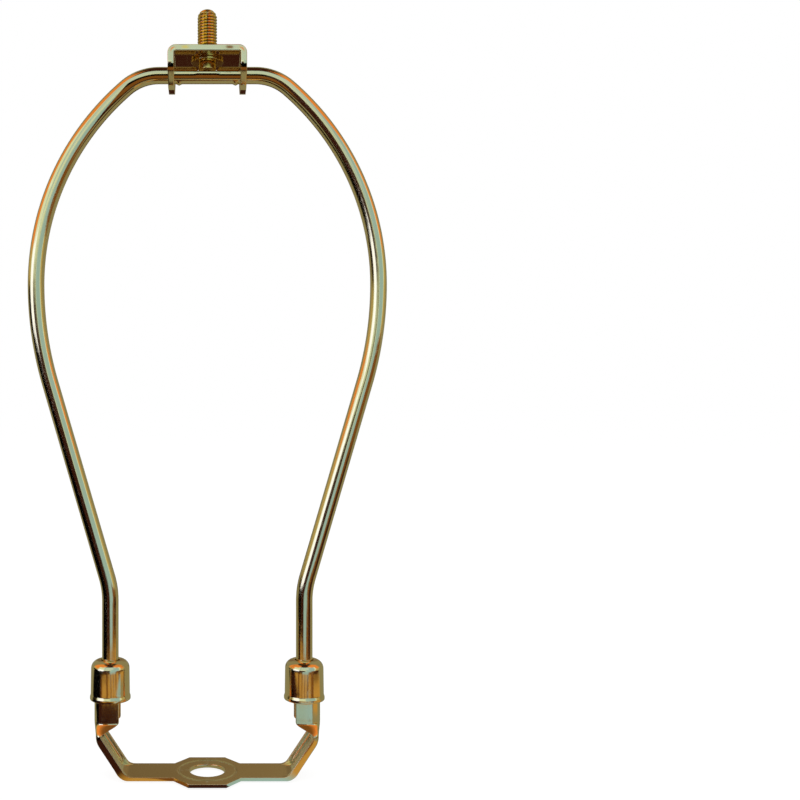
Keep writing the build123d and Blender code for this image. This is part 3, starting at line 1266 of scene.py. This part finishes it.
def wear_and_hollow_shade_group() -> bpy.types.NodeTree:
    """Where handling thinned the plate on outward edges, unevenly, and a darkening of hollows and corners
    that is partly dirt and partly painted shade.

    Returns:
        The group, which gives the worn edges' mask and the mask of the painted shade and dirt in hollows.
    """
    nodes, given, out = shader_group(
        "edge_wear_and_hollow_shade", {"Reach": 0.56, "Break Up": 0.5, "Scale": 700.0, "Depth": 0.40}, ("Mask", "Hollow Dirt And Shade")
    )
    flat, hollow, least = 0.5, 0.49, 0.25
    sharp = nodes.add("ShaderNodeNewGeometry").outputs["Pointiness"]
    noise = nodes.noise(nodes.own_place(), given.outputs["Scale"], detail=3.0)
    edge = nodes.ramp(sharp, flat, given.outputs["Reach"])
    broken = nodes.math("MULTIPLY", noise, given.outputs["Break Up"])
    nodes.feed(out.inputs["Mask"], nodes.math("MULTIPLY", edge, nodes.math("ADD", broken, least)))
    # painted shade with dirt: concave places, found by pointiness, are marked for darkening
    nodes.feed(out.inputs["Hollow Dirt And Shade"], nodes.ramp(sharp, hollow, given.outputs["Depth"]))
    return nodes.tree


def draw_lines_group() -> bpy.types.NodeTree:
    """Fine upright lines that a die leaves on a drawn cup.

    Returns:
        The group, which gives Mask and Height.
    """
    nodes, given, out = shader_group("draw_lines", {"Scale": 900.0, "Length": 0.02}, ("Mask", "Height"))
    groove, ridge = 0.35, 0.65
    parts = nodes.add("ShaderNodeSeparateXYZ", Vector=nodes.own_place())
    flat = nodes.add(
        "ShaderNodeCombineXYZ", X=parts.outputs["X"], Y=parts.outputs["Y"],
        Z=nodes.math("MULTIPLY", parts.outputs["Z"], given.outputs["Length"]),
    )
    noise = nodes.noise(flat.outputs[0], given.outputs["Scale"], detail=3.0)
    lines = nodes.ramp(noise, groove, ridge)
    nodes.feed(out.inputs["Mask"], lines)
    nodes.feed(out.inputs["Height"], lines)
    return nodes.tree


@dataclass(frozen=True)
class BrassFinish:
    """One bright brass finish and what sets it apart."""

    name: str
    bright: Colour = (0.86, 0.68, 0.36)
    deep: Colour = (0.78, 0.58, 0.26)
    worn: Colour = (0.92, 0.80, 0.56)
    # the dark colour, its amount and depth darken hollows and thread roots: partly grime, partly painted
    # shade
    dirt_and_shade: Colour = (0.16, 0.08, 0.03)
    dirt_and_shade_amount: float = 0.35
    dirt_and_shade_depth: float = 0.40
    low_gloss: float = 0.07
    rough_range: float = 0.10
    scratch_rough: float = 0.12
    waviness: float = 1.0
    wave_depth: float = 0.02 * MM
    scratch_amount: float = 0.5
    scratch_depth: float = 0.05
    lines: float = 0.0
    drift_scale: float = 60.0
    scratch_scale: float = 900.0
    line_scale: float = 1100.0

    def material(self, groups: "FinishGroups") -> bpy.types.Material:
        """Makes the material.

        Args:
            groups: the shared node groups.

        Returns:
            The material.
        """
        made, nodes, surface = new_material(self.name)
        drift = groups.place(nodes, groups.drift, Scale=self.drift_scale, Waviness=self.waviness)
        scratch = groups.place(nodes, groups.scratches, Scale=self.scratch_scale, Amount=self.scratch_amount)
        wear_and_shade = groups.place(nodes, groups.wear_and_shade, Depth=self.dirt_and_shade_depth)
        colour = nodes.blend(drift.outputs["Tone"], self.deep, self.bright)
        colour = nodes.blend(wear_and_shade.outputs["Mask"], colour, self.worn)
        # painted shade with grime: the hollows are blended towards the dark colour
        dirt_and_shade = nodes.math("MULTIPLY", wear_and_shade.outputs["Hollow Dirt And Shade"], self.dirt_and_shade_amount)
        colour = nodes.blend(dirt_and_shade, colour, self.dirt_and_shade)
        marks = nodes.math("MULTIPLY", scratch.outputs["Height"], self.scratch_depth)
        height = nodes.math("ADD", drift.outputs["Height"], marks)
        rough = nodes.math("MULTIPLY_ADD", drift.outputs["Tone"], self.rough_range, self.low_gloss)
        rough = nodes.math("MULTIPLY_ADD", scratch.outputs["Mask"], self.scratch_rough, rough)
        if self.lines:
            drawn = groups.place(nodes, groups.lines, Scale=self.line_scale)
            height = nodes.math("MULTIPLY_ADD", drawn.outputs["Height"], self.lines, height)
        bump = nodes.add("ShaderNodeBump", Height=height, Distance=self.wave_depth, Strength=1.0)
        shader = nodes.add(
            "ShaderNodeBsdfPrincipled", Metallic=1.0, Base_Color=colour, Roughness=rough,
            Normal=bump.outputs["Normal"],
        )
        nodes.feed(surface, shader.outputs["BSDF"])
        return made


class FinishGroups:
    """The shared effects, each built once."""

    def __init__(self) -> None:
        """Builds the node groups."""
        self.drift = plating_drift_group()
        self.scratches = fine_scratches_group()
        self.wear_and_shade = wear_and_hollow_shade_group()
        self.lines = draw_lines_group()

    def place(self, nodes: Nodes, group: bpy.types.NodeTree, **values: float) -> bpy.types.Node:
        """Places a group in a material's tree with its own values.

        Args:
            nodes: the tree being written.
            group: the node group.
            values: its inputs by name, with _ for a space.

        Returns:
            The placed node.
        """
        node = nodes.add("ShaderNodeGroup", {"node_tree": group})
        for key, value in values.items():
            node.inputs[key.replace("_", " ")].default_value = value
        return node


class Paint(Enum):
    """The light that the studio's painted surfaces give, in linear colour."""

    BLACK = (0.0, 0.0, 0.0)
    UMBER = (0.04, 0.012, 0.008)
    BROWN = (0.21, 0.09, 0.02)
    AMBER = (0.58, 0.36, 0.10)
    HONEY = (0.74, 0.80, 0.42)
    COPPER = (0.61, 0.24, 0.14)
    ORANGE = (0.90, 0.33, 0.08)
    STRAW = (0.52, 0.46, 0.22)
    DUSK = (0.19, 0.15, 0.09)
    OLIVE = (0.29, 0.30, 0.21)
    SAND = (0.24, 0.19, 0.11)
    MINT = (0.36, 0.64, 0.93)
    FROST = (0.58, 0.84, 1.05)
    PALE = (0.80, 1.05, 1.05)
    WHITE = (1.30, 1.60, 2.60)


@dataclass(frozen=True)
class Ring:
    """A ring of the painted surroundings: where it starts, and its bands by azimuth.

    Azimuth 0 lies in front of the harp and grows to its right. Each band runs from where the one before it
    ends to its own end, in degrees.
    """

    start: float
    bands: tuple[tuple[float, Paint], ...]


def even_ring(start: float, paint: Paint) -> Ring:
    """A ring of one paint all round."""
    return Ring(start, ((FULL_TURN / 2, paint),))


@dataclass(frozen=True)
class PaintedSurface:
    """A studio surface that only reflections see, painted in rings."""

    name: str
    rings: tuple[Ring, ...]
    soft_azimuth: float = 2.5
    soft_ring: float = 0.03
    one_sided: bool = False

    def _ramp(self, nodes: Nodes, azimuth: bpy.types.NodeSocket, ring: Ring) -> bpy.types.NodeSocket:
        """One ring's colours round the compass.

        Args:
            nodes: the tree being written.
            azimuth: the azimuth, from 0 to 1 for a whole turn.
            ring: the ring.

        Returns:
            The colour.
        """
        ramp = nodes.add("ShaderNodeValToRGB", Fac=azimuth)
        stops = ramp.color_ramp.elements
        edges = [(-FULL_TURN / 2, None), *ring.bands]
        places = []
        for (before, _), (end, paint) in zip(edges, edges[1:]):
            places += [(before + self.soft_azimuth, paint), (end - self.soft_azimuth, paint)]
        while len(stops) < len(places):
            stops.new(0.5)
        for stop, (place, paint) in zip(stops, places):
            stop.position = place / FULL_TURN + 0.5
            stop.color = (*paint.value, 1.0)
        return ramp.outputs["Color"]

    def material(
        self, height_from: Callable[[Nodes, bpy.types.NodeSocket], bpy.types.NodeSocket]
    ) -> bpy.types.Material:
        """Makes the surface's glowing material.

        Args:
            height_from: works out, from the place on the surface, what the rings' starts are given in.

        Returns:
            The material.
        """
        made, nodes, surface = new_material(self.name)
        place = nodes.own_place()
        parts = nodes.add("ShaderNodeSeparateXYZ", Vector=place)
        front = nodes.math("MULTIPLY", parts.outputs["Y"], -1.0)
        turn = nodes.math("ARCTAN2", parts.outputs["X"], front)
        azimuth = nodes.math("MULTIPLY_ADD", turn, 1 / (2 * math.pi), 0.5)
        value = height_from(nodes, place)
        colour = self._ramp(nodes, azimuth, self.rings[0])
        for ring in self.rings[1:]:
            step = nodes.add(
                "ShaderNodeMapRange", {"interpolation_type": "SMOOTHSTEP"},
                Value=value, From_Min=ring.start - self.soft_ring, From_Max=ring.start + self.soft_ring,
            )
            colour = nodes.blend(step.outputs["Result"], colour, self._ramp(nodes, azimuth, ring))
        glow = nodes.add("ShaderNodeEmission", Color=colour, Strength=1.0).outputs["Emission"]
        if self.one_sided:
            back = nodes.add("ShaderNodeNewGeometry").outputs["Backfacing"]
            glow = nodes.either(back, glow, nodes.add("ShaderNodeBsdfTransparent").outputs["BSDF"])
        nodes.feed(surface, glow)
        return made


def stand_in_studio(piece: bpy.types.Object, material: bpy.types.Material, only_mirrored: bool) -> None:
    """Gives a piece of the studio its material, and hides it from all but reflections where asked.

    Args:
        piece: the floor, tent, board or card.
        material: its material.
        only_mirrored: whether nothing but reflections sees it.
    """
    piece.data.materials.clear()
    piece.data.materials.append(material)
    if only_mirrored:
        for way in ("camera", "diffuse", "shadow", "transmission", "volume_scatter"):
            setattr(piece, f"visible_{way}", False)


def along(axis: str) -> Callable[[Nodes, bpy.types.NodeSocket], bpy.types.NodeSocket]:
    """Lays a painted surface's rings along one of its own axes, X or Z."""
    return lambda nodes, place: nodes.add("ShaderNodeSeparateXYZ", Vector=place).outputs[axis]


def from_middle(nodes: Nodes, place: bpy.types.NodeSocket) -> bpy.types.NodeSocket:
    """Lays a painted surface's rings by the distance from its own middle."""
    return nodes.add("ShaderNodeVectorMath", {"operation": "LENGTH"}, Vector=place).outputs["Value"]


@dataclass
class Studio:
    """A white floor, a painted light tent over a painted board, painted cards, and two soft lamps."""

    tent_radius: float = 4.0
    tent_skin: float = 1.01
    tent_step: float = math.radians(3)
    round_sides: int = 96
    board_radius: float = 3.9
    board_gap: float = 0.2 * MM
    board_skin: float = 0.05 * MM
    board_soft_azimuth: float = 1.5
    board_soft_ring: float = 4.0 * MM
    floor_reach: float = 60.0
    floor_drop: float = 0.6 * MM
    floor_glow: float = 0.9
    world_light: float = 1.0
    flag_gap: float = 4.6 * MM
    flag_left: float = 26.0 * MM
    flag_right: float = 19.0 * MM
    flag_over: float = 0.3 * MM
    flag_black: float = 4.8 * MM
    flag_brown: float = 15.0 * MM
    flag_soft: float = 0.4 * MM
    flag_drop: float = 24.0 * MM
    ear_flag_half: float = 14.5 * MM
    ear_flag_drop: float = 16.0 * MM
    panel_radius: float = 60.0 * MM
    panel_top: float = 8.3 * MM
    panel_near: float = 34.0
    panel_far: float = 75.0
    panel_right_far: float = 42.0
    bounce_reach: float = 45.0 * MM
    bounce_width: float = 17.0 * MM
    bounce_under: float = 2.4 * MM
    bounce_orange: float = 8.0 * MM
    bounce_amber: float = 20.0 * MM
    bounce_soft: float = 5.0 * MM
    stud_card_gap: float = 1.5 * MM
    stud_card_low: float = 3.6 * MM
    stud_card_high: float = 27.0 * MM
    patch_distance: float = 25.0 * MM
    patch_half: float = 1.05 * MM
    patch_rise: float = 5.7 * MM
    patch_outer: float = 11.8 * MM
    patch_inner: float = 7.2 * MM
    back_distance: float = 2.0
    back_half: float = 0.7
    back_low: float = 0.35
    back_high: float = 1.25
    back_soft: float = 0.2
    lamp_left: Point = (-0.7, -0.6)
    lamp_right: Point = (0.6, -0.8)
    lamp_size: float = 1.2
    lamp_power: float = 9.0
    lamp_height: float = 1.1

    def _tent(self) -> None:
        """Builds the tent, a half sphere whose rings start at the sine of an elevation."""
        painted = PaintedSurface("tent_paint", (
            Ring(0.0, (
                (-112, Paint.OLIVE), (-74, Paint.BLACK), (-36, Paint.WHITE), (2, Paint.UMBER),
                (8, Paint.PALE), (58, Paint.MINT), (64, Paint.PALE), (90, Paint.STRAW), (180, Paint.OLIVE),
            )),
            Ring(0.16, (
                (-116, Paint.OLIVE), (-77, Paint.STRAW), (-67, Paint.PALE), (-33, Paint.WHITE),
                (3, Paint.PALE), (62, Paint.MINT), (72, Paint.PALE), (100, Paint.STRAW), (180, Paint.OLIVE),
            )),
            Ring(0.30, (
                (-114, Paint.OLIVE), (-72, Paint.ORANGE), (-33, Paint.PALE), (-25, Paint.MINT),
                (25, Paint.FROST), (62, Paint.MINT), (72, Paint.PALE), (100, Paint.ORANGE),
                (180, Paint.OLIVE),
            )),
            Ring(0.66, (
                (-112, Paint.OLIVE), (-44, Paint.ORANGE), (44, Paint.FROST), (108, Paint.ORANGE),
                (180, Paint.OLIVE),
            )),
            Ring(0.77, (
                (-112, Paint.OLIVE), (-34, Paint.ORANGE), (34, Paint.UMBER), (108, Paint.ORANGE),
                (180, Paint.OLIVE),
            )),
            even_ring(0.93, Paint.UMBER),
        ))

        def sine(nodes: Nodes, place: bpy.types.NodeSocket) -> bpy.types.NodeSocket:
            """The sine of the elevation."""
            return nodes.math("MULTIPLY", along("Z")(nodes, place), 1 / self.tent_radius)

        elevations = spread(0.0, math.pi / 2, self.tent_step)
        arc = [(self.tent_radius * math.cos(t), self.tent_radius * math.sin(t)) for t in elevations]
        outer = [(radius * self.tent_skin, height * self.tent_skin) for radius, height in reversed(arc)]
        tent = lathe("light_tent", [*arc, *outer], (0.0, 0.0), self.round_sides)
        stand_in_studio(tent, painted.material(sine), True)

    def _board(self) -> None:
        """Builds the board just over the floor, whose rings start at a distance from the middle."""
        painted = PaintedSurface("board_paint", (
            Ring(0.0, (
                (-100, Paint.OLIVE), (-60, Paint.AMBER), (-30, Paint.BROWN), (35, Paint.UMBER),
                (90, Paint.MINT), (180, Paint.OLIVE),
            )),
            Ring(0.029, (
                (-100, Paint.OLIVE), (-5, Paint.UMBER), (45, Paint.BROWN), (90, Paint.AMBER),
                (180, Paint.OLIVE),
            )),
            Ring(0.060, (
                (-100, Paint.OLIVE), (-15, Paint.BLACK), (-8, Paint.BROWN), (32, Paint.AMBER),
                (46, Paint.BROWN), (180, Paint.OLIVE),
            )),
            Ring(0.102, (
                (-108, Paint.OLIVE), (-60, Paint.BLACK), (-52, Paint.BROWN), (-30, Paint.AMBER),
                (-22, Paint.BROWN), (-8, Paint.AMBER), (-2, Paint.BROWN), (8, Paint.AMBER),
                (13, Paint.BROWN), (22, Paint.AMBER), (30, Paint.BROWN), (44, Paint.AMBER),
                (58, Paint.BROWN), (95, Paint.AMBER), (180, Paint.OLIVE),
            )),
            Ring(0.165, (
                (-105, Paint.OLIVE), (-45, Paint.BLACK), (-8, Paint.UMBER), (28, Paint.MINT),
                (56, Paint.BROWN), (88, Paint.UMBER), (180, Paint.OLIVE),
            )),
            Ring(0.28, (
                (-105, Paint.OLIVE), (-45, Paint.BLACK), (-8, Paint.UMBER), (40, Paint.MINT),
                (60, Paint.BROWN), (88, Paint.UMBER), (180, Paint.OLIVE),
            )),
            Ring(0.42, (
                (-150, Paint.UMBER), (-100, Paint.OLIVE), (-52, Paint.BLACK), (2, Paint.UMBER),
                (38, Paint.MINT), (84, Paint.BROWN), (150, Paint.OLIVE), (180, Paint.UMBER),
            )),
        ), soft_azimuth=self.board_soft_azimuth, soft_ring=self.board_soft_ring)
        under = -self.board_skin
        disc = [(0.0, 0.0), (self.board_radius, 0.0), (self.board_radius, under), (0.0, under)]
        board = lathe("painted_board", disc, (0.0, 0.0), self.round_sides)
        board.location.z = -self.board_gap
        stand_in_studio(board, painted.material(from_middle), True)

    def _flat_card(self, name: str, x: Point, y: float, z: Point, material: bpy.types.Material) -> None:
        """Stands an upright card that faces the front, between two places in X and two in Z."""
        corners = [(x[0], y, z[0]), (x[1], y, z[0]), (x[1], y, z[1]), (x[0], y, z[1])]
        stand_in_studio(make_piece(name, corners, ONE_QUAD), material, True)

    def _bent_card(
        self, name: str, centre: Point, radius: float, reach: Point, rise: Point,
        material: bpy.types.Material,
    ) -> None:
        """Stands a card bent round an upright axis, which its paint's azimuths are measured about.

        Args:
            name: the card's name.
            centre: X and Y of the axis.
            radius: the card's distance from it.
            reach: azimuths of the card's two ends, in degrees.
            rise: heights of its lower and upper edge.
            material: its paint.
        """
        turns = spread(math.radians(reach[0]), math.radians(reach[1]), self.tent_step)
        corners = [(radius * math.sin(t), -radius * math.cos(t), z) for z in rise for t in turns]
        count = len(turns)
        faces = [(i, i + 1, i + 1 + count, i + count) for i in range(count - 1)]
        card = make_piece(name, corners, faces)
        card.location.x, card.location.y = centre
        stand_in_studio(card, material, True)

    def _bracket_cards(self) -> None:
        """Sets the cards at the top: flags before wire and ears, a card before the stud, four patches."""
        wire_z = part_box("harp_wire")[1].z - WIRE_DIAMETER / 2
        strap_low, strap_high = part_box("top_bracket")
        flag = PaintedSurface("flag_paint", (
            even_ring(0.0, Paint.OLIVE),
            even_ring(wire_z - self.flag_drop, Paint.UMBER),
            even_ring(wire_z - self.flag_brown, Paint.BROWN),
            even_ring(wire_z - self.flag_black, Paint.BLACK),
        ), soft_ring=self.flag_soft).material(along("Z"))
        front, low = strap_low.y - self.flag_gap, wire_z - self.flag_drop
        rise = (low, wire_z + self.flag_over)
        self._flat_card("flag", (-self.flag_left, self.flag_right), front, rise, flag)
        half = self.ear_flag_half
        self._flat_card("ear_flag", (-half, half), front, (low - self.ear_flag_drop, low), flag)
        banded = PaintedSurface("stud_paint", (
            Ring(0.0, (
                (-34, Paint.HONEY), (-26, Paint.BROWN), (-7, Paint.HONEY), (9, Paint.UMBER),
                (180, Paint.COPPER),
            )),
        )).material(along("Z"))
        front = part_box("saddle")[0].y - self.stud_card_gap
        rise = (strap_high.z + self.stud_card_low, strap_high.z + self.stud_card_high)
        self._flat_card("stud_card", (strap_low.x, strap_high.x), front, rise, banded)
        middle = strap_high.z - STRAP_SHEET / 2 + self.patch_rise
        rise = (middle - self.patch_half, middle + self.patch_half)
        outer, inner = self.patch_outer, self.patch_inner
        for name, place, paint in (
            ("patch_corner_left", -outer, Paint.ORANGE), ("patch_left", -inner, Paint.HONEY),
            ("patch_right", inner, Paint.BROWN), ("patch_corner_right", outer, Paint.ORANGE),
        ):
            painted = PaintedSurface(f"{name}_paint", (even_ring(0.0, paint),)).material(along("Z"))
            ends = (place - self.patch_half, place + self.patch_half)
            self._flat_card(name, ends, -self.patch_distance, rise, painted)

    def _saddle_cards(self) -> None:
        """Sets the cards about the saddle: panels before its posts, a bounce over them, a wall behind."""
        cup_low, cup_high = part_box("ferrule_right")
        post_x = (cup_low.x + cup_high.x) / 2
        rise = (0.0, self.panel_top)
        left = Ring(0.0, ((24, Paint.UMBER), (180, Paint.PALE)))
        right = Ring(0.0, ((-24, Paint.BLACK), (180, Paint.MINT)))
        for name, x, reach, ring in (
            ("panel_left", -post_x, (-self.panel_far, self.panel_near), left),
            ("panel_right", post_x, (-self.panel_near, self.panel_right_far), right),
        ):
            painted = PaintedSurface(f"{name}_paint", (ring,)).material(along("Z"))
            self._bent_card(name, (x, 0.0), self.panel_radius, reach, rise, painted)
        bounce = PaintedSurface("bounce_paint", (
            even_ring(0.0, Paint.BROWN),
            even_ring(post_x + self.bounce_orange, Paint.ORANGE),
            even_ring(post_x + self.bounce_amber, Paint.AMBER),
        ), soft_ring=self.bounce_soft, one_sided=True).material(from_middle)
        reach, front, back = post_x + self.bounce_width, -self.bounce_reach, cup_low.y
        corners = [(-reach, front, 0.0), (-reach, back, 0.0), (reach, back, 0.0), (reach, front, 0.0)]
        card = make_piece("orange_bounce", corners, ONE_QUAD)
        card.location.z = cup_low.z - self.bounce_under
        if card.data.polygons[0].normal.z > 0:
            card.data.flip_normals()
        stand_in_studio(card, bounce, True)
        half = self.back_half
        wall = PaintedSurface("wall_paint", (
            even_ring(-half, Paint.DUSK), even_ring(0.0, Paint.SAND),
        ), soft_ring=self.back_soft).material(along("X"))
        rise = (self.back_low, self.back_high)
        self._flat_card("back_wall", (-half, half), self.back_distance, rise, wall)

    def _floor(self) -> None:
        """Builds the floor, white to the camera but for the object's shadow."""
        made, nodes, surface = new_material("white_floor")
        share = nodes.math("MULTIPLY", nodes.seen(), self.floor_glow)
        matt = nodes.add("ShaderNodeBsdfDiffuse", Color=WHITE_LIGHT)
        glow = nodes.add("ShaderNodeEmission", Color=WHITE_LIGHT, Strength=1.0)
        nodes.feed(surface, nodes.either(share, matt.outputs["BSDF"], glow.outputs["Emission"]))
        far, level = self.floor_reach, -self.floor_drop
        corners = [(-far, -far, level), (far, -far, level), (far, far, level), (-far, far, level)]
        stand_in_studio(make_piece("studio_floor", corners, ONE_QUAD), made, False)

    def _world(self) -> None:
        """Makes the world a plain light, and white to the camera and to reflections."""
        world = bpy.data.worlds.new("white_studio")
        bpy.context.scene.world = world
        world.use_nodes = True
        nodes = Nodes(world.node_tree)
        out = nodes.add("ShaderNodeOutputWorld")
        light = nodes.add("ShaderNodeBackground", Color=WHITE_LIGHT, Strength=self.world_light)
        white = nodes.add("ShaderNodeBackground", Color=WHITE_LIGHT, Strength=1.0)
        both = nodes.either(nodes.seen(), light.outputs["Background"], white.outputs["Background"])
        nodes.feed(out.inputs["Surface"], both)

    def _lamps(self) -> None:
        """Hangs two soft lamps over the harp, left and right of its front."""
        for name, (x, y) in (("lamp_left", self.lamp_left), ("lamp_right", self.lamp_right)):
            data = bpy.data.lights.new(name, "AREA")
            data.size = self.lamp_size
            data.energy = self.lamp_power
            lamp = bpy.data.objects.new(name, data)
            bpy.context.scene.collection.objects.link(lamp)
            lamp.location = (x, y, self.lamp_height)
            lamp.rotation_euler = Vector((x, y, self.lamp_height)).to_track_quat("Z", "Y").to_euler()
            lamp.visible_glossy = False

    def build(self) -> None:
        """Builds the studio."""
        self._world()
        self._floor()
        self._tent()
        self._board()
        self._bracket_cards()
        self._saddle_cards()
        self._lamps()
        bpy.context.scene.view_settings.view_transform = "Standard"


@dataclass(frozen=True)
class PhotoCamera:
    """A level camera in front of the harp, with the photograph's framing."""

    picture: float = 800.0
    focal_pixels: float = 1010.0
    axis_column: float = 207.3
    horizon_row: float = 408.0
    distance: float = 320.9 * MM
    height: float = 116.3 * MM
    sensor: float = 36.0
    clip_start: float = 0.01
    clip_end: float = 20.0

    def build(self) -> bpy.types.Object:
        """Creates the camera and makes it the scene's.

        Returns:
            The camera.
        """
        data = bpy.data.cameras.new("photo_camera")
        data.sensor_width = self.sensor
        data.lens = self.focal_pixels / self.picture * self.sensor
        data.shift_x = (self.picture / 2 - self.axis_column) / self.picture
        data.shift_y = (self.horizon_row - self.picture / 2) / self.picture
        data.clip_start = self.clip_start
        data.clip_end = self.clip_end
        camera = bpy.data.objects.new("photo_camera", data)
        bpy.context.scene.collection.objects.link(camera)
        camera.location = (0.0, -self.distance, self.height)
        camera.rotation_euler = (math.pi / 2, 0.0, 0.0)
        bpy.context.scene.camera = camera
        return camera


def main() -> None:
    """Builds the harp's pieces, dresses them, and sets the studio and the camera."""
    logging.basicConfig(level=logging.INFO, format="%(name)s: %(message)s")
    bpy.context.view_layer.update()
    PhotoCamera().build()
    groups = FinishGroups()
    plate = BrassFinish("bright_plate").material(groups)
    drawn = BrassFinish("drawn_plate", lines=0.2).material(groups)
    # the stud's thread roots are darkened almost to black: mostly painted shade that brings out the thread,
    # with some grime
    turned = BrassFinish(
        "turned_brass", bright=(0.95, 0.69, 0.14), deep=(0.88, 0.58, 0.10), dirt_and_shade=(0.05, 0.02, 0.01),
        dirt_and_shade_amount=0.95, dirt_and_shade_depth=0.465, low_gloss=0.16,
    ).material(groups)
    settle(HarpWire().build(), "harp_wire", Body.HARP, plate)
    settle(SaddleSheet().build(), "saddle", Body.SADDLE, plate)
    for body in (Body.FERRULE_LEFT, Body.FERRULE_RIGHT):
        settle(LockFerrule(body.value).build(), body.value, body, drawn)
    settle(TopBracket().build(), "top_bracket", Body.BRACKET, plate)
    settle(FinialStud().build(), "finial_stud", Body.STUD, turned)
    settle(SwivelWasher().build(), "swivel_washer", Body.STUD, turned)
    Studio().build()


if __name__ == "__main__":
    main()
